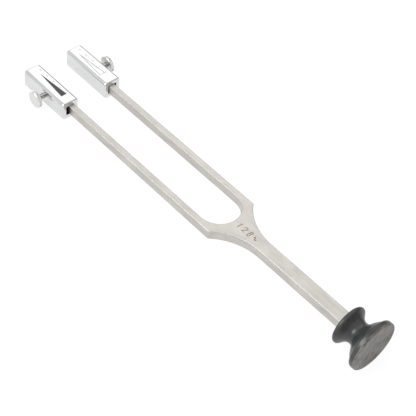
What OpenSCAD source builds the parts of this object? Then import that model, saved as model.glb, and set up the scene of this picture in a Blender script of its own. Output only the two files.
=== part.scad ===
// A graduated tuning fork with two sliding dampers, lying on its back.
// Y runs from the foot's face to the prong tips, Z is up, X crosses the prongs.
// The origin is under the middle of the fork, on the surface that its foot rests on.

/* [Fork] */
// Overall length, from the foot's face to the prong tips
fork_length = 240; // [195:1:300]
// Thickness of the flat bar that the fork is cut from
bar_thickness = 5.4; // [4:0.1:8]
// Length of the slot between the prongs, from its round bottom to the tips
prong_length = 146; // [115:1:180]
// Width of each prong, across the fork
prong_width = 3.45; // [2.8:0.05:4.5]
// Open width between the prongs
prong_gap = 23.4; // [20:0.1:30]
// Width of the stem
stem_width = 7.5; // [6.2:0.1:12]
// How far above the slot's bottom the square shoulders stand
shoulder_rise = 2.2; // [0:0.1:6]
// Radius that blends each shoulder into the stem
blend_radius = 31; // [22:0.5:40]
// Width of the tang that goes into the foot
tang_width = 6; // [4.5:0.1:6.1]
// Thickness of the tang
tang_thickness = 4.2; // [3:0.1:4.4]
// Length of the tang
tang_length = 12; // [8:0.5:14]

/* [Foot] */
// Length of the foot along the stem
foot_length = 17.4; // [16:0.1:24]
// Radius of the face that is pressed on the patient
foot_radius = 13.7; // [11:0.1:18]
// Radius of the thumb flange at the stem
flange_radius = 10.4; // [9:0.1:14]
// Thickness of the thumb flange
flange_thickness = 2.6; // [1.6:0.1:4]
// Radius of the narrow waist
waist_radius = 6.2; // [5.2:0.1:7]
// Depth of the dish in the face
dish_depth = 0.8; // [0.2:0.1:2]
// Width of the flat rim around the dish
rim_width = 1.1; // [0.6:0.1:2]

/* [Dampers] */
// Length of each damper along its prong
damper_length = 34; // [24:0.5:42]
// Wall on the inner side of the prong
inner_wall = 2.6; // [2:0.05:4.5]
// Wall on the outer side, which is tapped for the thumb screw
outer_wall = 2.55; // [2:0.05:4.5]
// Wall above and below the prong
flat_wall = 2.65; // [2:0.05:4]
// Room between the prong and the tapped wall
screw_side_room = 1.7; // [0.8:0.1:3]
// Radius of the damper's long edges
edge_radius = 1.9; // [0.5:0.05:2.2]
// How far the right damper sits inwards on its prong, away from its screw
right_damper_inset = 0.3; // [0:0.1:1]

/* [Amplitude scale] */
// Width of the engraved triangle at its base
triangle_width = 3.6; // [2:0.1:4]
// Length of the engraved triangle
triangle_length = 21.4; // [14:0.1:22]
// Depth of the engraving
engraving_depth = 0.25; // [0.1:0.05:0.6]
// Line width of the triangle that is drawn only as an outline
outline_width = 0.35; // [0.2:0.05:0.6]
// Distance from the damper's lower end to the left triangle's base
left_triangle_start = 6; // [0.5:0.1:7]
// Distance from the damper's lower end to the right triangle's base
right_triangle_start = 7.4; // [0.5:0.1:7.5]
// How far the left triangle sits inwards of the damper's middle
left_triangle_inset = 0.35; // [0:0.05:1.2]
// How far the right triangle sits inwards of the damper's middle
right_triangle_inset = 1.05; // [0:0.05:1.2]

/* [Thumb screws] */
// Radius of the threaded stud, M3 over its crests
stud_radius = 1.5; // [1:0.05:2]
// Bare length of stud between the damper and the head
stud_bare_length = 3.8; // [2.2:0.1:6]
// Radius of the knurled head
head_radius = 4.8; // [3.5:0.1:7]
// Thickness of the knurled head
head_thickness = 2.1; // [1.4:0.1:4]
// Edge break around both faces of the head
head_chamfer = 0.35; // [0.1:0.05:0.6]
// Metal left over the end of the stud in the head
head_cap = 0.7; // [0.3:0.1:1]

/* [Fits] */
// Clearance between a prong and the flat walls of the damper's channel
slide_clearance = 0.1; // [0.04:0.01:0.2]
// Clearance between a prong and the wall that it is clamped against
clamp_clearance = 0.04; // [0.02:0.01:0.1]
// Radial clearance of the stud in the tapped wall
thread_clearance = 0.05; // [0.02:0.01:0.1]
// Radial clearance of the stud's end in the head
head_clearance = 0.03; // [0.01:0.01:0.1]
// Gap between the stud's tip and the prong
tip_clearance = 0.02; // [0.01:0.01:0.1]
// Clearance between the tang and its socket
socket_clearance = 0.03; // [0.01:0.01:0.1]

/* [Hidden] */
$fn = 64;
cut = 1;

// Side of the fork: the left prong is at -X, the right one at +X
left = -1;
right = 1;

// Fork outline
half_thickness = bar_thickness / 2;
slot_radius = prong_gap / 2;
prong_inner = slot_radius;
prong_outer = prong_inner + prong_width;
slot_bottom = fork_length - prong_length;
slot_centre = slot_bottom + slot_radius;
shoulder = slot_bottom + shoulder_rise;
stem_half = stem_width / 2;
blend_centre = stem_half + blend_radius;
blend_start = shoulder - sqrt(pow(blend_radius, 2) - pow(blend_centre - prong_outer, 2));

// Foot profile: the rim of the face, the bell behind it, the crease and the waist
face_round = 0.8;
face_flat = foot_radius - face_round;
dish_rim = face_flat - rim_width;
dish_curve = (pow(dish_rim, 2) + pow(dish_depth, 2)) / (2 * dish_depth);
rim_back = 2.2;
rim_round = 1.3;
bell_end = 7.7;
bell_radius = waist_radius + 1.1;
bell_bulge = 0.5;
bell_start_radius = foot_radius - rim_round;
bell_start = rim_back + rim_round;
crease = 8.1;
crease_radius = waist_radius + 0.7;
flare_radius = waist_radius + 1.2;
flange_round = flange_thickness / 2;
flange_centre = foot_length - flange_round;
flare_start = flange_centre - flange_thickness - 0.4;
waist_pull = 2 * waist_radius - (crease_radius + flare_radius) / 2;
arc_steps = 12;

// Damper block, given as distances from the fork's middle
channel_inner = prong_inner - clamp_clearance;
channel_outer = prong_outer + screw_side_room;
channel_half = half_thickness + slide_clearance;
damper_inner = channel_inner - inner_wall;
damper_outer = channel_outer + outer_wall;
damper_width = damper_outer - damper_inner;
damper_middle = (damper_inner + damper_outer) / 2;
damper_half = channel_half + flat_wall;
damper_start = fork_length - damper_length;

// Thumb screws
screw_place = fork_length - damper_length / 2;
stud_tip = prong_outer + tip_clearance;
head_inner = damper_outer + stud_bare_length;
head_outer = head_inner + head_thickness;
stud_end = head_outer - head_cap;

// The outline triangle's inner edge is the same triangle, shrunk about its incentre
triangle_side = sqrt(pow(triangle_length, 2) + pow(triangle_width / 2, 2));
triangle_inradius = triangle_width * triangle_length / (triangle_width + 2 * triangle_side);
outline_scale = 1 - outline_width / triangle_inradius;

// Points along an arc about a centre, from one angle to another
function arc(centre, radius, from, to) = [
    for (step = [0 : arc_steps])
        let (angle = from + (to - from) * step / arc_steps)
        centre + radius * [cos(angle), sin(angle)]
];

// Points along a quadratic curve from a to c, pulled towards b
function bend(a, b, c) = [
    for (step = [0 : arc_steps])
        let (t = step / arc_steps)
        pow(1 - t, 2) * a + 2 * t * (1 - t) * b + pow(t, 2) * c
];

// Lays the upright drawing on its resting surface, centred on the origin
module laid() {
    translate([0, -fork_length / 2, foot_radius])
        children();
}

// Turns a shape that points up at its own origin so that it points away from the fork
module outward(side) {
    translate([0, screw_place, 0])
        rotate([0, side * 90, 0])
            children();
}

module fork_outline() {
    difference() {
        union() {
            translate([-stem_half, foot_length])
                square([stem_width, blend_start - foot_length + cut]);
            difference() {
                translate([-prong_outer, blend_start])
                    square([2 * prong_outer, fork_length - blend_start]);
                for (side = [left, right])
                    translate([side * blend_centre, blend_start])
                        circle(blend_radius);
            }
        }
        translate([0, slot_centre])
            circle(slot_radius);
        translate([-slot_radius, slot_centre])
            square([prong_gap, prong_length]);
    }
}

module tang(gap = 0) {
    translate([0, foot_length - (tang_length + gap) / 2, 0])
        cube([tang_width + 2 * gap, tang_length + gap, tang_thickness + 2 * gap], center = true);
}

module fork() {
    color("#c9c6c0")
        laid() {
            translate([0, 0, -half_thickness])
                linear_extrude(bar_thickness)
                    fork_outline();
            tang();
        }
}

// Half of the foot's section: distance from the axis, distance from the face
module foot_section() {
    polygon(concat(
        arc([0, dish_depth - dish_curve], dish_curve, 90, 90 - asin(dish_rim / dish_curve)),
        arc([face_flat, face_round], face_round, -90, 0),
        bend(
            [foot_radius, rim_back],
            [foot_radius, bell_start],
            [bell_start_radius, bell_start]
        ),
        bend(
            [bell_start_radius, bell_start],
            [
                (bell_start_radius + bell_radius) / 2 + bell_bulge,
                (bell_start + bell_end) / 2 + bell_bulge
            ],
            [bell_radius, bell_end]
        ),
        bend(
            [crease_radius, crease],
            [waist_pull, (crease + flare_start) / 2],
            [flare_radius, flare_start]
        ),
        arc([flange_radius - flange_round, flange_centre], flange_round, -60, 90),
        [[0, foot_length]]
    ));
}

module foot() {
    color("#4a4c4b")
        laid()
            difference() {
                rotate([-90, 0, 0])
                    rotate_extrude($fn = 96)
                        foot_section();
                tang(socket_clearance);
                translate([0, foot_length, 0])
                    cube([tang_width, 2 * socket_clearance, tang_thickness], center = true);
            }
}

// Rounded rectangle about the origin, made of true arcs
module rounded_block(width, height, radius) {
    square([width - 2 * radius, height], center = true);
    square([width, height - 2 * radius], center = true);
    for (x = [-1, 1], y = [-1, 1])
        translate([x * (width / 2 - radius), y * (height / 2 - radius)])
            circle(radius);
}

module triangle() {
    polygon([
        [-triangle_width / 2, 0],
        [triangle_width / 2, 0],
        [0, triangle_length]
    ]);
}

module triangle_outline() {
    difference() {
        triangle();
        translate([0, triangle_inradius])
            scale(outline_scale)
                translate([0, -triangle_inradius])
                    triangle();
    }
}

// The engraved triangle at its place on a damper's upper face, with the given depth
module engraving(side, depth) {
    start = side == left ? left_triangle_start : right_triangle_start;
    inset = side == left ? left_triangle_inset : right_triangle_inset;
    translate([
        side * (damper_middle - inset) - damper_inset(side),
        damper_start + start,
        damper_half - engraving_depth
    ])
        linear_extrude(depth)
            if (side == left) triangle();
            else triangle_outline();
}

function damper_inset(side) = side == left ? 0 : right_damper_inset;

module damper(side) {
    color("#dcdcda")
        laid()
            difference() {
                translate([side * damper_middle - damper_inset(side), fork_length, 0])
                    rotate([90, 0, 0])
                        linear_extrude(damper_length)
                            rounded_block(damper_width, 2 * damper_half, edge_radius);
                translate([
                    side * (channel_inner + channel_outer) / 2 - damper_inset(side),
                    screw_place,
                    0
                ])
                    cube([
                        channel_outer - channel_inner,
                        damper_length + 2 * cut,
                        2 * channel_half
                    ], center = true);
                outward(side)
                    translate([0, 0, channel_outer - damper_inset(side) - cut])
                        cylinder(h = outer_wall + 2 * cut, r = stud_radius + thread_clearance);
                engraving(side, engraving_depth + cut);
            }
}

module scale_enamel(side) {
    color("#1c1c1c")
        laid()
            engraving(side, engraving_depth);
}

module screw_stud(side) {
    color("#b9b9b8")
        laid()
            outward(side)
                translate([0, 0, stud_tip])
                    cylinder(h = stud_end - stud_tip, r = stud_radius);
}

module screw_head(side) {
    color("#e2e2e0")
        laid()
            outward(side)
                translate([0, 0, head_inner])
                    difference() {
                        rotate_extrude()
                            polygon([
                                [0, 0],
                                [head_radius - head_chamfer, 0],
                                [head_radius, head_chamfer],
                                [head_radius, head_thickness - head_chamfer],
                                [head_radius - head_chamfer, head_thickness],
                                [0, head_thickness]
                            ]);
                        translate([0, 0, -cut])
                            cylinder(
                                h = head_thickness - head_cap + head_clearance + cut,
                                r = stud_radius + head_clearance
                            );
                    }
}

fork();
foot();
damper(left);  // left_damper
damper(right);  // right_damper
scale_enamel(left);  // left_scale_enamel
scale_enamel(right);  // right_scale_enamel
screw_stud(left);  // left_screw_stud
screw_stud(right);  // right_screw_stud
screw_head(left);  // left_screw_head
screw_head(right);  // right_screw_head
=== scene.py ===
import math

import bmesh
import bpy
from mathutils import Matrix, Vector


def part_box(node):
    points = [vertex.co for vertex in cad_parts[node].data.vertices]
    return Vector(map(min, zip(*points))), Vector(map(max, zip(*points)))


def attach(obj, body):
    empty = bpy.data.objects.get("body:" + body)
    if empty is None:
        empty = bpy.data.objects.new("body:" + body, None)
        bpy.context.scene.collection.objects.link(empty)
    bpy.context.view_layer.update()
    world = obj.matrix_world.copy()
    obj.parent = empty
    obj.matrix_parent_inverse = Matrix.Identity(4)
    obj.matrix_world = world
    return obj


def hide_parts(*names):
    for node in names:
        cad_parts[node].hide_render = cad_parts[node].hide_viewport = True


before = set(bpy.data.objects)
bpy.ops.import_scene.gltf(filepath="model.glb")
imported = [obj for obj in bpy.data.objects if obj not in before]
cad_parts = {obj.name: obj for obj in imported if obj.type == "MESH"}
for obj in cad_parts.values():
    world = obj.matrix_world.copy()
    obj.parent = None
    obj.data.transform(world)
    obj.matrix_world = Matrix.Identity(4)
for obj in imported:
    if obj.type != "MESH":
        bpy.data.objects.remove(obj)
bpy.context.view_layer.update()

# ---------------------------------------------------------------- the fork
# The fork is one piece of flat steel bar: two prongs, a yoke and a stem, with a thinner tang
# that goes into the foot. It is sawn and filed to shape, its edges are broken with a file,
# and its faces are brushed along the bar.
mm = 0.001
fork_low, fork_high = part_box("fork")
foot_low, foot_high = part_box("foot")
axis_height = (fork_low.z + fork_high.z) / 2
bar_thickness = fork_high.z - fork_low.z
prong_outer = fork_high.x
prong_width = 3.45 * mm
prong_length = 146 * mm
slot_radius = prong_outer - prong_width
slot_bottom = fork_high.y - prong_length
slot_centre = slot_bottom + slot_radius
shoulder = slot_bottom + 2.2 * mm
stem_half = 3.75 * mm
blend_radius = 31 * mm
blend_centre = stem_half + blend_radius
blend_start = shoulder - math.sqrt(blend_radius**2 - (blend_centre - prong_outer) ** 2)
stem_foot = foot_high.y
file_break = 0.34 * mm
corner_break = 0.65 * mm
tang_width = 6 * mm
tang_thickness = 4.2 * mm


def arc(centre, radius, start, end, steps):
    """Points on an arc, from one angle in degrees to another."""
    turns = [math.radians(start + (end - start) * i / steps) for i in range(steps + 1)]
    return [(centre[0] + radius * math.cos(a), centre[1] + radius * math.sin(a)) for a in turns]


def eased_corners(outline, radius, sharper_than=40, steps=3):
    """Rounds each corner of a closed outline that turns by more than an angle in degrees."""
    eased = []
    for i, point in enumerate(outline):
        here = Vector(point)
        before = Vector(outline[i - 1]) - here
        after = Vector(outline[(i + 1) % len(outline)]) - here
        turn = math.degrees(before.angle(-after))
        if turn < sharper_than:
            eased.append(here)
            continue
        first = here + before.normalized() * radius
        last = here + after.normalized() * radius
        for k in range(steps + 1):
            t = k / steps
            eased.append(first * (1 - t) ** 2 + here * 2 * t * (1 - t) + last * t**2)
    return eased


def inset(outline, amount):
    """A counter-clockwise outline moved inwards by the same amount along every side."""
    moved = []
    for i, point in enumerate(outline):
        along_in = (point - outline[i - 1]).normalized()
        along_out = (outline[(i + 1) % len(outline)] - point).normalized()
        normal_in = Vector((-along_in.y, along_in.x))
        normal_out = Vector((-along_out.y, along_out.x))
        middle = (normal_in + normal_out).normalized()
        moved.append(point + middle * amount / max(middle.dot(normal_in), 0.3))
    return moved


def slab(name, outline, low, high, edge, steps, materials):
    """A plate cut to an outline in X and Y, with rounded upper and lower edges.
    The first material is on its faces and the last one on its broken edges."""
    rings = []
    for k in range(steps + 1):
        turn = math.radians(90 * k / steps)
        rings.append((edge * (1 - math.sin(turn)), low + edge * (1 - math.cos(turn))))
    rings += [(amount, high - (height - low)) for amount, height in reversed(rings)]
    mesh = bmesh.new()
    loops = []
    for amount, height in rings:
        ring = inset(outline, amount) if amount > 0 else outline
        loops.append([mesh.verts.new((p.x, p.y, height)) for p in ring])
    count = len(outline)
    for level, (lower, upper) in enumerate(zip(loops, loops[1:])):
        on_edge = level < steps or level > steps
        for i in range(count):
            j = (i + 1) % count
            face = mesh.faces.new((lower[i], lower[j], upper[j], upper[i]))
            face.material_index = len(materials) - 1 if on_edge else 0
            face.smooth = on_edge
    mesh.faces.new(list(reversed(loops[0])))
    mesh.faces.new(loops[-1])
    return finish_mesh(name, mesh, materials)


def finish_mesh(name, mesh, materials):
    """Turns a bmesh into an object at the origin, with its faces pointing outwards."""
    bmesh.ops.remove_doubles(mesh, verts=mesh.verts, dist=1e-7)
    bmesh.ops.recalc_face_normals(mesh, faces=mesh.faces)
    data = bpy.data.meshes.new(name)
    mesh.to_mesh(data)
    mesh.free()
    for material in materials:
        data.materials.append(material)
    piece = bpy.data.objects.new(name, data)
    bpy.context.scene.collection.objects.link(piece)
    return piece


def applied(piece):
    """The same object with its modifiers worked into a plain mesh."""
    bpy.context.view_layer.update()
    graph = bpy.context.evaluated_depsgraph_get()
    data = bpy.data.meshes.new_from_object(piece.evaluated_get(graph))
    piece.modifiers.clear()
    piece.data = data
    return piece


def joined(piece, tool, operation):
    """Cuts a tool out of a piece, or welds it on, and removes the tool."""
    boolean = piece.modifiers.new("join", "BOOLEAN")
    boolean.operation = operation
    boolean.solver = "EXACT"
    boolean.material_mode = "TRANSFER"
    boolean.object = tool
    applied(piece)
    bpy.data.objects.remove(tool)
    return piece


def new_material(name):
    """An empty node material, with its nodes, its links and its Principled shader."""
    material = bpy.data.materials.new(name)
    material.use_nodes = True
    nodes = material.node_tree.nodes
    return material, nodes, material.node_tree.links, nodes["Principled BSDF"]


def pattern(nodes, links, kind, scale, stretch=(1, 1, 1), centre=(0, 0, 0), **settings):
    """A texture on Object coordinates, stretched along the axes and centred on a point."""
    place = nodes.new("ShaderNodeTexCoord")
    mapping = nodes.new("ShaderNodeMapping")
    mapping.vector_type = "POINT"
    mapping.inputs["Location"].default_value = [-c * s for c, s in zip(centre, stretch)]
    mapping.inputs["Scale"].default_value = stretch
    links.new(place.outputs["Object"], mapping.inputs["Vector"])
    texture = nodes.new(kind)
    texture.inputs["Scale"].default_value = scale
    for key, value in settings.items():
        if key in texture.inputs:
            texture.inputs[key].default_value = value
        else:
            setattr(texture, key, value)
    links.new(mapping.outputs["Vector"], texture.inputs["Vector"])
    return texture


def ramp(nodes, links, source, low, high, start=0.3, end=0.7):
    """Spreads a texture's value over two colours or two grey levels."""
    node = nodes.new("ShaderNodeValToRGB")
    for element, place, value in zip(node.color_ramp.elements, (start, end), (low, high)):
        element.position = place
        element.color = (*value, 1) if isinstance(value, tuple) else (value, value, value, 1)
    links.new(source, node.inputs["Fac"])
    return node


def bump(nodes, links, shader, source, distance, strength):
    """Raises the surface by a texture; a second call adds to the first."""
    node = nodes.new("ShaderNodeBump")
    node.inputs["Distance"].default_value = distance
    node.inputs["Strength"].default_value = strength
    links.new(source, node.inputs["Height"])
    if shader.inputs["Normal"].is_linked:
        links.new(shader.inputs["Normal"].links[0].from_socket, node.inputs["Normal"])
    links.new(node.outputs["Normal"], shader.inputs["Normal"])


def metal(name, dark, light, smooth, rough, grain, stretch, grain_depth):
    """A brushed or polished metal: fine stretched grain, and slow cloudy tone over it."""
    material, nodes, links, shader = new_material(name)
    shader.inputs["Metallic"].default_value = 1.0
    clouds = pattern(nodes, links, "ShaderNodeTexNoise", 240, (1, 0.35, 1), Detail=6.0, Roughness=0.7)
    lines = pattern(nodes, links, "ShaderNodeTexNoise", grain, stretch, Detail=4.0, Roughness=0.6)
    tone = ramp(nodes, links, clouds.outputs["Fac"], dark, light)
    links.new(tone.outputs["Color"], shader.inputs["Base Color"])
    sheen = ramp(nodes, links, lines.outputs["Fac"], smooth, rough)
    links.new(sheen.outputs["Color"], shader.inputs["Roughness"])
    bump(nodes, links, shader, lines.outputs["Fac"], grain_depth, 0.6)
    return material, nodes, links, shader


satin_steel, *_ = metal(
    "satin_steel", (0.475, 0.458, 0.43), (0.60, 0.578, 0.545),
    0.36, 0.46, 5200, (1, 0.012, 1), 0.02 * mm,
)
filed_edge, *_ = metal(
    "filed_edge", (0.50, 0.487, 0.46), (0.60, 0.583, 0.555),
    0.58, 0.66, 6000, (1, 0.05, 1), 0.004 * mm,
)
engraved_steel, *_ = metal(
    "engraved_steel", (0.38, 0.29, 0.235), (0.52, 0.42, 0.35),
    0.5, 0.7, 3000, (1, 1, 1), 0.02 * mm,
)

half_outline = [(stem_half, stem_foot), (stem_half, blend_start)]
shoulder_angle = math.degrees(math.acos((blend_centre - prong_outer) / blend_radius))
half_outline += arc((blend_centre, blend_start), blend_radius, 180, 180 - shoulder_angle, 28)[1:]
half_outline += [(prong_outer, fork_high.y), (slot_radius, fork_high.y)]
half_outline += arc((0, slot_centre), slot_radius, 0, -90, 28)
mirrored = [(-x, y) for x, y in reversed(half_outline[:-1])]
fork_outline = eased_corners(half_outline + mirrored, corner_break)

fork_bar = slab(
    "fork_bar", fork_outline, fork_low.z, fork_high.z, file_break, 2,
    [satin_steel, engraved_steel, filed_edge],
)
tang_overlap = 2 * mm
tang_outline = [
    Vector(p) for p in (
        (-tang_width / 2, fork_low.y), (tang_width / 2, fork_low.y),
        (tang_width / 2, stem_foot + tang_overlap), (-tang_width / 2, stem_foot + tang_overlap),
    )
]
tang = slab(
    "tang", tang_outline, axis_height - tang_thickness / 2, axis_height + tang_thickness / 2,
    corner_break, 2, [satin_steel],
)
joined(fork_bar, tang, "UNION")

# ------------------------------------------------- the pitch mark on the yoke
# The fork's pitch with the dampers off, 128 in hertz, and a wave mark after it are cut into
# the yoke by hand with a round graver. The strokes are shallow and a little uneven.
stroke_radius = 0.27 * mm
glyph_height = 3.5 * mm
glyph_width = 2.2 * mm
glyph_pitch = 3.6 * mm
glyph_slant = 0.16
mark_start = slot_bottom - 2.9 * mm
mark_base = -1.9 * mm
glyphs = [
    [[(0.2, 0.74), (0.56, 1.0), (0.5, 0.5), (0.46, 0.0)]],
    [[(0.04, 0.74), (0.2, 0.95), (0.52, 1.0), (0.82, 0.82), (0.76, 0.55), (0.42, 0.25),
      (0.04, 0.0), (0.5, 0.05), (0.98, 0.02)]],
    [arc((0.5, 0.76), 0.25, 15, 375, 16), arc((0.48, 0.25), 0.3, -20, 340, 16)],
    [[(t / 12, 0.45 + 0.27 * math.sin(2 * math.pi * t / 12)) for t in range(13)]],
]
strokes = bpy.data.curves.new("strokes", "CURVE")
strokes.dimensions = "3D"
strokes.bevel_depth = stroke_radius / mm
strokes.bevel_resolution = 2
strokes.use_fill_caps = True
for place, drawn in enumerate(glyphs):
    for points in drawn:
        spline = strokes.splines.new("POLY")
        spline.points.add(len(points) - 1)
        for point, (across, up) in zip(spline.points, points):
            reading = mark_start - place * glyph_pitch - (across + glyph_slant * up) * glyph_width
            point.co = (Vector((mark_base + up * glyph_height, reading, fork_high.z)) / mm).to_4d()
graver = bpy.data.objects.new("graver", strokes)
bpy.context.scene.collection.objects.link(graver)
bpy.context.view_layer.update()
graph = bpy.context.evaluated_depsgraph_get()
cutter = bpy.data.objects.new(
    "cutter", bpy.data.meshes.new_from_object(graver.evaluated_get(graph)))
bpy.context.scene.collection.objects.link(cutter)
bpy.data.objects.remove(graver)
fused = cutter.modifiers.new("fuse", "REMESH")
fused.mode = "VOXEL"
fused.voxel_size = 0.07
applied(cutter)
cutter.data.transform(Matrix.Scale(mm, 4))
cutter.data.materials.clear()
cutter.data.materials.append(engraved_steel)
joined(fork_bar, cutter, "DIFFERENCE")
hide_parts("fork")
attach(fork_bar, "fork")

# ---------------------------------------------------------------- the foot
# The foot is a spool of dark grey plastic, moulded and pressed on the tang. Its wide face has
# a shallow dish, worn a little paler, and fingers hold it by the narrow waist.
foot_radius = foot_high.z - axis_height
foot_face = foot_low.y
foot_length = foot_high.y - foot_face
flange_radius = 10.4 * mm
flange_round = 1.3 * mm
waist_radius = 6.2 * mm
face_round = 0.8 * mm
dish_depth = 0.8 * mm
dish_rim = foot_radius - face_round - 1.1 * mm
rim_back = 2.2 * mm
rim_round = 1.3 * mm
bell_end = 7.7 * mm
bell_bulge = 0.5 * mm
bell_radius = waist_radius + 1.1 * mm
crease = 8.1 * mm
crease_radius = waist_radius + 0.7 * mm
flange_centre = foot_length - flange_round
flare_start = flange_centre - 3 * mm
flare_radius = waist_radius + 1.2 * mm


def bend(first, pull, last, steps=10):
    """Points on a curve from one point to another, pulled towards a third."""
    points = []
    for i in range(steps + 1):
        t = i / steps
        weights = ((1 - t) ** 2, 2 * t * (1 - t), t**2)
        points.append(tuple(sum(w * p[k] for w, p in zip(weights, (first, pull, last)))
                            for k in (0, 1)))
    return points


def turned(name, outline, steps, axis, origin, materials, material_at=lambda r, a: 0):
    """A turned piece: the outline gives a radius and a distance along the axis at each point."""
    axis = Vector(axis)
    side = Vector((0, 0, 1))
    third = axis.cross(side)
    mesh = bmesh.new()
    rings = []
    for radius, along in outline:
        centre = Vector(origin) + axis * along
        if radius < 1e-7:
            rings.append([mesh.verts.new(centre)])
            continue
        turns = [2 * math.pi * i / steps for i in range(steps)]
        rings.append([
            mesh.verts.new(centre + (side * math.cos(a) + third * math.sin(a)) * radius)
            for a in turns
        ])
    for ring, (lower, upper) in enumerate(zip(rings, rings[1:])):
        middle = [(outline[ring][k] + outline[ring + 1][k]) / 2 for k in (0, 1)]
        for i in range(steps):
            j = (i + 1) % steps
            corners = [lower[i % len(lower)], lower[j % len(lower)],
                       upper[j % len(upper)], upper[i % len(upper)]]
            corners = list(dict.fromkeys(corners))
            if len(corners) > 2:
                face = mesh.faces.new(corners)
                face.smooth = True
                face.material_index = material_at(*middle)
    return finish_mesh(name, mesh, materials)


def crisp(piece, angle):
    """Keeps edges sharper than an angle in degrees crisp in the shading."""
    piece.data.set_sharp_from_angle(angle=math.radians(angle))
    return piece


dish_curve = (dish_rim**2 + dish_depth**2) / (2 * dish_depth)
dish_angle = math.degrees(math.asin(dish_rim / dish_curve))
bell_start = (foot_radius - rim_round, rim_back + rim_round)
bell_middle = ((bell_start[0] + bell_radius) / 2 + bell_bulge,
               (bell_start[1] + bell_end) / 2 + bell_bulge)
waist_pull = 2 * waist_radius - (crease_radius + flare_radius) / 2
foot_outline = [(0, dish_depth)]
foot_outline += arc((0, dish_depth - dish_curve), dish_curve, 90, 90 - dish_angle, 10)[1:]
foot_outline += arc((foot_radius - face_round, face_round), face_round, -90, 0, 6)
foot_outline += bend((foot_radius, rim_back), (foot_radius, bell_start[1]), bell_start, 7)
foot_outline += bend(bell_start, bell_middle, (bell_radius, bell_end))[1:]
foot_outline += bend((crease_radius, crease), (waist_pull, (crease + flare_start) / 2),
                     (flare_radius, flare_start), 14)
foot_outline += arc((flange_radius - flange_round, flange_centre), flange_round, -60, 90, 9)
foot_outline += [(0, foot_length)]


def moulded_plastic(name, dark, light, smooth, rough):
    """Satin moulded plastic: a fine pebbled skin, slow mottling and a few faint scuffs."""
    material, nodes, links, shader = new_material(name)
    clouds = pattern(nodes, links, "ShaderNodeTexNoise", 210, Detail=4.0, Roughness=0.6)
    pebbles = pattern(nodes, links, "ShaderNodeTexNoise", 3600, Detail=2.0)
    scuffs = pattern(nodes, links, "ShaderNodeTexNoise", 900, (1, 0.5, 0.12), Detail=5.0,
                     Roughness=0.7, Distortion=0.4)
    tone = ramp(nodes, links, clouds.outputs["Fac"], dark, light)
    links.new(tone.outputs["Color"], shader.inputs["Base Color"])
    sheen = ramp(nodes, links, scuffs.outputs["Fac"], smooth, rough, 0.35, 0.75)
    links.new(sheen.outputs["Color"], shader.inputs["Roughness"])
    bump(nodes, links, shader, pebbles.outputs["Fac"], 0.006 * mm, 0.4)
    bump(nodes, links, shader, scuffs.outputs["Fac"], 0.02 * mm, 0.3)
    return material


foot_side = moulded_plastic("foot_side", (0.02, 0.021, 0.02), (0.04, 0.041, 0.038), 0.28, 0.4)
# The paler tone is wear on the dish. It also covers the face's rounded rim, and there it is a painted
# highlight.
foot_wear_and_rim_highlight = moulded_plastic("foot_wear_and_rim_highlight", (0.035, 0.032, 0.028), (0.19, 0.18, 0.163), 0.36, 0.55)
foot_spool = turned(
    "foot_spool", foot_outline, 128, (0, 1, 0), (0, foot_face, axis_height),
    [foot_side, foot_wear_and_rim_highlight],
    # Everything nearer the face than the dish depth takes the paler material, the rounded rim
    # included.
    lambda radius, along: 1 if along < dish_depth else 0,
)
crisp(foot_spool, 35)
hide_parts("foot")
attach(foot_spool, "fork")

# -------------------------------------------------------------- the dampers
# Each damper is a short block of plated brass with a rectangular channel that slides over the
# prong. Its long edges are well rounded, its ends less so, and its outer wall is
# tapped for the thumb screw. An amplitude triangle is engraved into its upper face.
plated_brass, *_ = metal(
    "plated_brass", (0.64, 0.645, 0.65), (0.74, 0.74, 0.735),
    0.08, 0.18, 2400, (1, 0.08, 1), 0.008 * mm,
)
# Near-black metal lines the channel, the tapped hole and the triangle's pocket. It is painted shade
# inside the damper's hollows.
channel_painted_shade, *_ = metal(
    "channel_painted_shade", (0.02, 0.02, 0.02), (0.04, 0.04, 0.038),
    0.5, 0.7, 2600, (1, 0.1, 1), 0.02 * mm,
)
edge_radius = 1.9 * mm
end_round = 0.85 * mm
mouth_break = 0.14 * mm
tapped_radius = 1.55 * mm
tap_length = 6 * mm
tap_overlap = 1 * mm
engraving_depth = 0.25 * mm
channel_height = bar_thickness + 0.2 * mm
outer_wall = 2.55 * mm
channel_width = prong_width + 1.74 * mm
reach = 2 * mm


def even_shading(piece, angle):
    """Smooth shading that keeps large faces flat and sharp edges crisp."""
    for polygon in piece.data.polygons:
        polygon.use_smooth = True
    crisp(piece, angle)
    weighted = piece.modifiers.new("weighted", "WEIGHTED_NORMAL")
    weighted.weight = 100
    weighted.keep_sharp = True
    return applied(piece)


def block(name, low, high, material):
    """A plain cutting block between two corners."""
    corners = [(low.x, low.y), (high.x, low.y), (high.x, high.y), (low.x, high.y)]
    mesh = bmesh.new()
    bottom = [mesh.verts.new((x, y, low.z)) for x, y in corners]
    top = [mesh.verts.new((x, y, high.z)) for x, y in corners]
    mesh.faces.new(bottom)
    mesh.faces.new(top)
    for i in range(4):
        j = (i + 1) % 4
        mesh.faces.new((bottom[i], bottom[j], top[j], top[i]))
    return finish_mesh(name, mesh, [material])


def rounded_bar(name, low, high, radius, end_radius, materials):
    """A bar along Y between two corners, with its long edges and its ends rounded."""
    corners = ((high.x, high.z, 0), (low.x, high.z, 90), (low.x, low.z, 180), (high.x, low.z, 270))
    outline = []
    for x, z, start in corners:
        centre = (x - math.copysign(radius, x - (low.x + high.x) / 2),
                  z - math.copysign(radius, z - (low.z + high.z) / 2))
        outline += arc(centre, radius, start, start + 90, 12)
    outline = [Vector(point) for point in outline]
    bar = slab(name, outline, -high.y, -low.y, end_radius, 4, materials)
    bar.data.transform(Matrix.Rotation(math.pi / 2, 4, "X"))
    return bar


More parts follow.
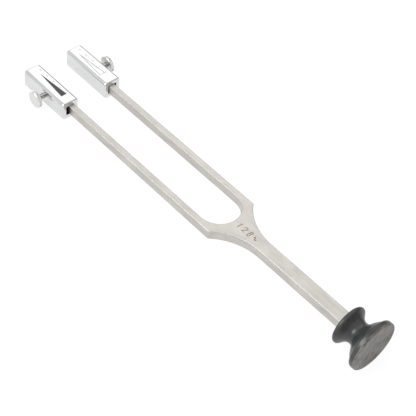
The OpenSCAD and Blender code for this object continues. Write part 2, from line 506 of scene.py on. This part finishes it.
def softened(piece, width, segments, angle):
    """Breaks every edge of a piece that is sharper than an angle in degrees."""
    bevel = piece.modifiers.new("soften", "BEVEL")
    bevel.width = width
    bevel.segments = segments
    bevel.limit_method = "ANGLE"
    bevel.angle_limit = math.radians(angle)
    bevel.harden_normals = False
    return applied(piece)


for side, word in ((-1, "left"), (1, "right")):
    low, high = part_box(f"{word}_damper")
    middle_y = (low.y + high.y) / 2
    damper = rounded_bar(
        f"{word}_damper_block", low, high, edge_radius, end_round, [plated_brass],
    )
    # The second material is the near-black painted shade, given to the hollows cut below.
    damper.data.materials.append(channel_painted_shade)
    outer_face = high.x if side > 0 else low.x
    channel_outer = outer_face - side * outer_wall
    channel = sorted((channel_outer, channel_outer - side * channel_width))
    joined(damper, block(
        "channel",
        Vector((channel[0], low.y - reach, axis_height - channel_height / 2)),
        Vector((channel[1], high.y + reach, axis_height + channel_height / 2)),
        channel_painted_shade,
    ), "DIFFERENCE")
    tap = turned(
        "tap", [(0, 0), (tapped_radius, 0), (tapped_radius, tap_length), (0, tap_length)], 48,
        (side, 0, 0), (channel_outer - side * tap_overlap, middle_y, axis_height), [channel_painted_shade],
    )
    joined(damper, tap, "DIFFERENCE")
    softened(damper, mouth_break, 2, 50)
    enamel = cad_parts[f"{word}_scale_enamel"]
    pocket = enamel.data.copy()
    tool = bpy.data.objects.new("pocket", pocket)
    bpy.context.scene.collection.objects.link(tool)
    shaped = bmesh.new()
    shaped.from_mesh(pocket)
    bmesh.ops.remove_doubles(shaped, verts=shaped.verts, dist=1e-7)
    pocket_top = max(v.co.z for v in shaped.verts)
    for vert in shaped.verts:
        if vert.co.z > pocket_top - engraving_depth / 2:
            vert.co.z = pocket_top + engraving_depth
    bmesh.ops.recalc_face_normals(shaped, faces=shaped.faces)
    shaped.to_mesh(pocket)
    shaped.free()
    pocket.materials.clear()
    pocket.materials.append(channel_painted_shade)
    joined(damper, tool, "DIFFERENCE")
    even_shading(damper, 35)
    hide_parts(f"{word}_damper")
    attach(damper, f"{word}_damper")

# ------------------------------------------------- the enamel and the scale
# Enamel fills both triangles: the left one is solid black and the right one a thin outline,
# worn to grey, and that grey is partly painted glare. The scale numbers 0 to 8 beside each are
# stamped small and as worn, in the same grey.
def enamel_paint(name, dark, light):
    """Baked enamel with a slight mottle in its colour and gloss."""
    material, nodes, links, shader = new_material(name)
    mottle = pattern(nodes, links, "ShaderNodeTexNoise", 700, Detail=3.0)
    tone = ramp(nodes, links, mottle.outputs["Fac"], dark, light)
    links.new(tone.outputs["Color"], shader.inputs["Base Color"])
    gloss = ramp(nodes, links, mottle.outputs["Fac"], 0.28, 0.42)
    links.new(gloss.outputs["Color"], shader.inputs["Roughness"])
    bump(nodes, links, shader, mottle.outputs["Fac"], 0.02 * mm, 0.4)
    return material


black_enamel = enamel_paint("black_enamel", (0.018, 0.018, 0.018), (0.04, 0.04, 0.04))
# Grey enamel for the right triangle and all the scale numbers. It is partly worn paint and partly
# painted glare from the highlight on the damper tops.
enamel_wear_and_glare = enamel_paint("enamel_wear_and_glare", (0.18, 0.18, 0.175), (0.34, 0.34, 0.33))
digit_height = 1.35 * mm
digit_sink = 0.03 * mm
digit_proud = 0.01 * mm
scale_step = 5.7 * mm
digit_places = ((-1, "left", 6.5 * mm, 2.3 * mm), (1, "right", 7.6 * mm, 1.45 * mm))
for side, word, first, beside in digit_places:
    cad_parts[f"{word}_scale_enamel"].data.materials.clear()
    paint = black_enamel if side < 0 else enamel_wear_and_glare
    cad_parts[f"{word}_scale_enamel"].data.materials.append(paint)
    low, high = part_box(f"{word}_damper")
    digits = []
    for place in range(5):
        lettering = bpy.data.curves.new("digit", "FONT")
        lettering.body = str(2 * place)
        lettering.size = digit_height * 1.4
        lettering.align_x = "CENTER"
        lettering.align_y = "CENTER"
        lettering.extrude = (digit_sink + digit_proud) / 2
        text = bpy.data.objects.new("digit", lettering)
        bpy.context.scene.collection.objects.link(text)
        bpy.context.view_layer.update()
        data = bpy.data.meshes.new_from_object(
            text.evaluated_get(bpy.context.evaluated_depsgraph_get()))
        bpy.data.objects.remove(text)
        data.transform(Matrix.Translation((
            (low.x + high.x) / 2 + beside,
            low.y + first + place * scale_step,
            high.z + (digit_proud - digit_sink) / 2,
        )))
        digits.append(data)
    mesh = bmesh.new()
    for data in digits:
        mesh.from_mesh(data)
        bpy.data.meshes.remove(data)
    numbers = finish_mesh(f"{word}_scale_numbers", mesh, [enamel_wear_and_glare])
    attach(numbers, f"{word}_damper")

# --------------------------------------------------------- the thumb screws
# Each thumb screw is a plated steel stud with a rolled M3 thread, and a flat disc head that is
# pressed on its outer end. The head's faces are turned and its rim is knurled for the fingers.
thread_pitch = 0.5 * mm
thread_height = 0.27 * mm
thread_tree = bpy.data.node_groups.new("rolled_thread", "GeometryNodeTree")
thread_sockets = {}
for title, kind in (("Length", "NodeSocketFloat"), ("Crest radius", "NodeSocketFloat"),
                    ("Pitch", "NodeSocketFloat"), ("Height", "NodeSocketFloat"),
                    ("Finish", "NodeSocketMaterial")):
    thread_sockets[title] = thread_tree.interface.new_socket(title, in_out="INPUT", socket_type=kind)
thread_tree.interface.new_socket("Geometry", in_out="OUTPUT", socket_type="NodeSocketGeometry")


def node_in(tree, kind, links=(), **values):
    """Adds a node to a geometry tree, sets its values and links its inputs by name."""
    node = tree.nodes.new(kind)
    for key, value in values.items():
        if hasattr(node, key):
            setattr(node, key, value)
        else:
            node.inputs[key.replace("_", " ")].default_value = value
    for socket, source in links:
        tree.links.new(source, node.inputs[socket])
    return node


def sum_of(tree, operation, first, second):
    """A Math node of two inputs, each a socket or a number."""
    node = tree.nodes.new("ShaderNodeMath")
    node.operation = operation
    for socket, value in zip(node.inputs, (first, second)):
        if isinstance(value, (int, float)):
            socket.default_value = value
        else:
            tree.links.new(value, socket)
    return node.outputs[0]


given = thread_tree.nodes.new("NodeGroupInput").outputs
ridge_radius = sum_of(thread_tree, "SUBTRACT", given["Crest radius"], given["Height"])
ridge_length = sum_of(thread_tree, "SUBTRACT", given["Length"],
                      sum_of(thread_tree, "MULTIPLY", given["Height"], 2.2))
helix = node_in(thread_tree, "GeometryNodeCurveSpiral", (
    ("Rotations", sum_of(thread_tree, "DIVIDE", ridge_length, given["Pitch"])),
    ("Start Radius", ridge_radius), ("End Radius", ridge_radius), ("Height", ridge_length),
), Resolution=28)
ridge = node_in(thread_tree, "GeometryNodeCurvePrimitiveCircle",
                (("Radius", given["Height"]),), mode="RADIUS", Resolution=4)
swept = node_in(thread_tree, "GeometryNodeCurveToMesh",
                (("Curve", helix.outputs["Curve"]), ("Profile Curve", ridge.outputs["Curve"])),
                Fill_Caps=True)
lifted = node_in(thread_tree, "GeometryNodeTransform", (
    ("Geometry", swept.outputs["Mesh"]),
    ("Translation", node_in(thread_tree, "ShaderNodeCombineXYZ", (
        ("Z", sum_of(thread_tree, "MULTIPLY", given["Height"], 1.1)),)).outputs[0]),
))
core = node_in(thread_tree, "GeometryNodeMeshCylinder",
               (("Radius", ridge_radius), ("Depth", given["Length"])), Vertices=40)
raised = node_in(thread_tree, "GeometryNodeTransform", (
    ("Geometry", core.outputs["Mesh"]),
    ("Translation", node_in(thread_tree, "ShaderNodeCombineXYZ", (
        ("Z", sum_of(thread_tree, "MULTIPLY", given["Length"], 0.5)),)).outputs[0]),
))
both = thread_tree.nodes.new("GeometryNodeJoinGeometry")
thread_tree.links.new(lifted.outputs["Geometry"], both.inputs[0])
thread_tree.links.new(raised.outputs["Geometry"], both.inputs[0])
real = node_in(thread_tree, "GeometryNodeRealizeInstances", (("Geometry", both.outputs[0]),))
coated = node_in(thread_tree, "GeometryNodeSetMaterial",
                 (("Geometry", real.outputs[0]), ("Material", given["Finish"])))
thread_tree.links.new(coated.outputs[0], thread_tree.nodes.new("NodeGroupOutput").inputs[0])

knurl_tree = bpy.data.node_groups.new("straight_knurl", "GeometryNodeTree")
knurl_sockets = {}
for title, kind in (("Teeth", "NodeSocketInt"), ("Radius", "NodeSocketFloat"),
                    ("Depth", "NodeSocketFloat"), ("Width", "NodeSocketFloat"),
                    ("Finish", "NodeSocketMaterial")):
    knurl_sockets[title] = knurl_tree.interface.new_socket(title, in_out="INPUT", socket_type=kind)
knurl_tree.interface.new_socket("Geometry", in_out="OUTPUT", socket_type="NodeSocketGeometry")
given = knurl_tree.nodes.new("NodeGroupInput").outputs
root_radius = sum_of(knurl_tree, "SUBTRACT", given["Radius"], given["Depth"])
rim = node_in(knurl_tree, "GeometryNodeMeshCircle",
              (("Vertices", given["Teeth"]), ("Radius", root_radius)), fill_type="NONE")
bar_side = sum_of(knurl_tree, "MULTIPLY", given["Depth"], math.sqrt(2))
bar_size = node_in(knurl_tree, "ShaderNodeCombineXYZ",
                   (("X", bar_side), ("Y", bar_side), ("Z", given["Width"])))
bar = node_in(knurl_tree, "GeometryNodeMeshCube", (("Size", bar_size.outputs[0]),))
turn = sum_of(knurl_tree, "DIVIDE", sum_of(
    knurl_tree, "MULTIPLY", knurl_tree.nodes.new("GeometryNodeInputIndex").outputs[0], 2 * math.pi,
), given["Teeth"])
facing = node_in(knurl_tree, "ShaderNodeCombineXYZ",
                 (("Z", sum_of(knurl_tree, "ADD", turn, math.pi / 4)),))
teeth = node_in(knurl_tree, "GeometryNodeInstanceOnPoints", (
    ("Points", rim.outputs[0]), ("Instance", bar.outputs[0]), ("Rotation", facing.outputs[0]),
))
real = node_in(knurl_tree, "GeometryNodeRealizeInstances", (("Geometry", teeth.outputs[0]),))
coated = node_in(knurl_tree, "GeometryNodeSetMaterial",
                 (("Geometry", real.outputs[0]), ("Material", given["Finish"])))
knurl_tree.links.new(coated.outputs[0], knurl_tree.nodes.new("NodeGroupOutput").inputs[0])


def grown(name, tree, sockets, values, place):
    """Runs a geometry tree once and keeps its result as a plain mesh at its place."""
    piece = bpy.data.objects.new(name, bpy.data.meshes.new(name))
    bpy.context.scene.collection.objects.link(piece)
    modifier = piece.modifiers.new("grow", "NODES")
    modifier.node_group = tree
    for title, value in values.items():
        modifier[sockets[title].identifier] = value
    applied(piece)
    piece.data.transform(place)
    return piece


stud_steel, *_ = metal(
    "stud_steel", (0.42, 0.42, 0.42), (0.54, 0.54, 0.535),
    0.24, 0.4, 2600, (1, 1, 1), 0.01 * mm,
)
knurled_nickel, *_ = metal(
    "knurled_nickel", (0.70, 0.70, 0.69), (0.80, 0.80, 0.79),
    0.24, 0.4, 3000, (0.3, 1, 1), 0.01 * mm,
)
head_chamfer = 0.35 * mm
knurl_depth = 0.16 * mm
knurl_teeth = 72
head_bore = 1.53 * mm
head_cap = 0.7 * mm
bore_chamfer = 0.25 * mm
press_gap = 0.03 * mm
knurl_margin = 0.1 * mm
for side, word in ((-1, "left"), (1, "right")):
    stud_low, stud_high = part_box(f"{word}_screw_stud")
    low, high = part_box(f"{word}_screw_head")
    centre = (low + high) / 2
    stud_start = stud_low.x if side > 0 else stud_high.x
    outwards = Matrix.Rotation(side * math.pi / 2, 4, "Y")
    stud = grown(
        f"{word}_threaded_stud", thread_tree, thread_sockets,
        {"Length": stud_high.x - stud_low.x, "Crest radius": (stud_high.z - stud_low.z) / 2,
         "Pitch": thread_pitch, "Height": thread_height, "Finish": stud_steel},
        Matrix.Translation((stud_start, centre.y, centre.z)) @ outwards,
    )
    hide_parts(f"{word}_screw_stud")
    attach(stud, f"{word}_screw_stud")

    turned_nickel, nodes, links, shader = metal(
        f"{word}_turned_nickel", (0.65, 0.65, 0.642), (0.74, 0.74, 0.73),
        0.2, 0.34, 2600, (1, 1, 1), 0.004 * mm,
    )
    rings = pattern(nodes, links, "ShaderNodeTexWave", 1500, centre=tuple(centre),
                    wave_type="RINGS", rings_direction="X")
    bump(nodes, links, shader, rings.outputs["Fac"], 0.012 * mm, 0.5)
    head_radius = (high.z - low.z) / 2
    thickness = high.x - low.x
    disc_radius = head_radius - knurl_depth
    outline = [(0, thickness), (head_radius - 2 * head_chamfer, thickness)]
    outline += arc((disc_radius - head_chamfer, thickness - head_chamfer), head_chamfer, 90, 0, 4)
    outline += arc((disc_radius - head_chamfer, head_chamfer), head_chamfer, 0, -90, 4)
    bore_end = thickness - head_cap + press_gap
    outline += [(head_bore + bore_chamfer, 0), (head_bore, bore_chamfer),
                (head_bore, bore_end), (0, bore_end)]
    inner_x = low.x if side > 0 else high.x
    head = turned(
        f"{word}_knurled_head", outline, 96, (side, 0, 0), (inner_x, centre.y, centre.z),
        [turned_nickel, knurled_nickel],
        lambda radius, along: 1 if radius > disc_radius - knurl_margin else 0,
    )
    knurl = grown(
        f"{word}_knurl", knurl_tree, knurl_sockets,
        {"Teeth": knurl_teeth, "Radius": head_radius, "Depth": knurl_depth,
         "Width": thickness - 1.6 * head_chamfer, "Finish": knurled_nickel},
        Matrix.Translation(centre) @ outwards,
    )
    crisp(head, 30)
    for piece in (head, knurl):
        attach(piece, f"{word}_screw_head")
    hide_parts(f"{word}_screw_head")

# ------------------------------------------------- floor, light and camera
# The fork lies on a white light table, on its foot's rim and the far ends of its dampers, so
# the table is tipped to touch both. Two softboxes light it in a white studio with a darker
# band at eye level, which draws grey lines along the polished edges.
damper_low, damper_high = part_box("left_damper")
floor_slope = math.atan((damper_low.z - foot_low.z) / (damper_high.y - foot_low.y))
floor_half = 3.0
floor_gap = 0.05 * mm
floor_mesh = bpy.data.meshes.new("floor")
floor_mesh.from_pydata(
    [(x, y, (y - foot_low.y) * math.tan(floor_slope) - floor_gap)
     for x, y in ((-floor_half, -floor_half), (floor_half, -floor_half),
                  (floor_half, floor_half), (-floor_half, floor_half))],
    [], [(0, 1, 2, 3)],
)
floor = bpy.data.objects.new("floor", floor_mesh)
bpy.context.scene.collection.objects.link(floor)
paper, nodes, links, shader = new_material("light_table")
shader.inputs["Base Color"].default_value = (0.12, 0.12, 0.12, 1)
shader.inputs["Roughness"].default_value = 0.9
shader.inputs["Specular IOR Level"].default_value = 0.0
shader.inputs["Emission Color"].default_value = (1.0, 1.0, 1.0, 1)
shader.inputs["Emission Strength"].default_value = 0.9
floor_mesh.materials.append(paper)

world = bpy.data.worlds.new("studio")
bpy.context.scene.world = world
world.use_nodes = True
sky = world.node_tree.nodes["Background"]
sky.inputs["Strength"].default_value = 1.0
direction = world.node_tree.nodes.new("ShaderNodeTexCoord")
height = world.node_tree.nodes.new("ShaderNodeSeparateXYZ")
world.node_tree.links.new(direction.outputs["Generated"], height.inputs[0])
band = ramp(world.node_tree.nodes, world.node_tree.links, height.outputs["Z"], 0.1, 0.88, 0.1, 0.5)
window = ramp(world.node_tree.nodes, world.node_tree.links, height.outputs["X"], 0.85, 0.1, 0.0, 0.1)
brighter = sum_of(world.node_tree, "MAXIMUM", band.outputs["Color"], window.outputs["Color"])
world.node_tree.links.new(brighter, sky.inputs["Color"])
bpy.context.scene.view_settings.view_transform = "Standard"


def soft_light(name, place, target, size, power):
    """A square softbox that faces a point."""
    lamp = bpy.data.lights.new(name, "AREA")
    lamp.shape = "SQUARE"
    lamp.size = size
    lamp.energy = power
    light = bpy.data.objects.new(name, lamp)
    light.location = place
    light.rotation_euler = (Vector(target) - Vector(place)).to_track_quat("-Z", "Y").to_euler()
    bpy.context.scene.collection.objects.link(light)
    return light


soft_light("key", (0.62, 0.57, 0.92), (0, 0, 0), 0.9, 1.6)
side_light = soft_light("side", (-0.78, 0.22, 0.72), (0, -0.05, 0), 0.6, 8.5)
side_light.data.color = (0.93, 0.97, 1.0)

view_target = Vector((0.05, -7.6, 9.0)) * mm
view_azimuth = math.radians(47.8)
view_elevation = math.radians(47.2)
view_roll = math.radians(7.9)
view_distance = 580.5 * mm
ahead = Vector((
    math.sin(view_azimuth) * math.cos(view_elevation),
    math.cos(view_azimuth) * math.cos(view_elevation),
    -math.sin(view_elevation),
))
level_right = ahead.cross(Vector((0, 0, 1))).normalized()
level_up = level_right.cross(ahead)
right = level_right * math.cos(view_roll) + level_up * math.sin(view_roll)
up = right.cross(ahead)
lens = bpy.data.cameras.new("camera")
lens.lens = 100.6
lens.sensor_width = 36
lens.clip_start = 0.01
camera = bpy.data.objects.new("camera", lens)
facing = Matrix((right, up, -ahead)).transposed().to_4x4()
camera.matrix_world = Matrix.Translation(view_target - ahead * view_distance) @ facing
bpy.context.scene.collection.objects.link(camera)
bpy.context.scene.camera = camera
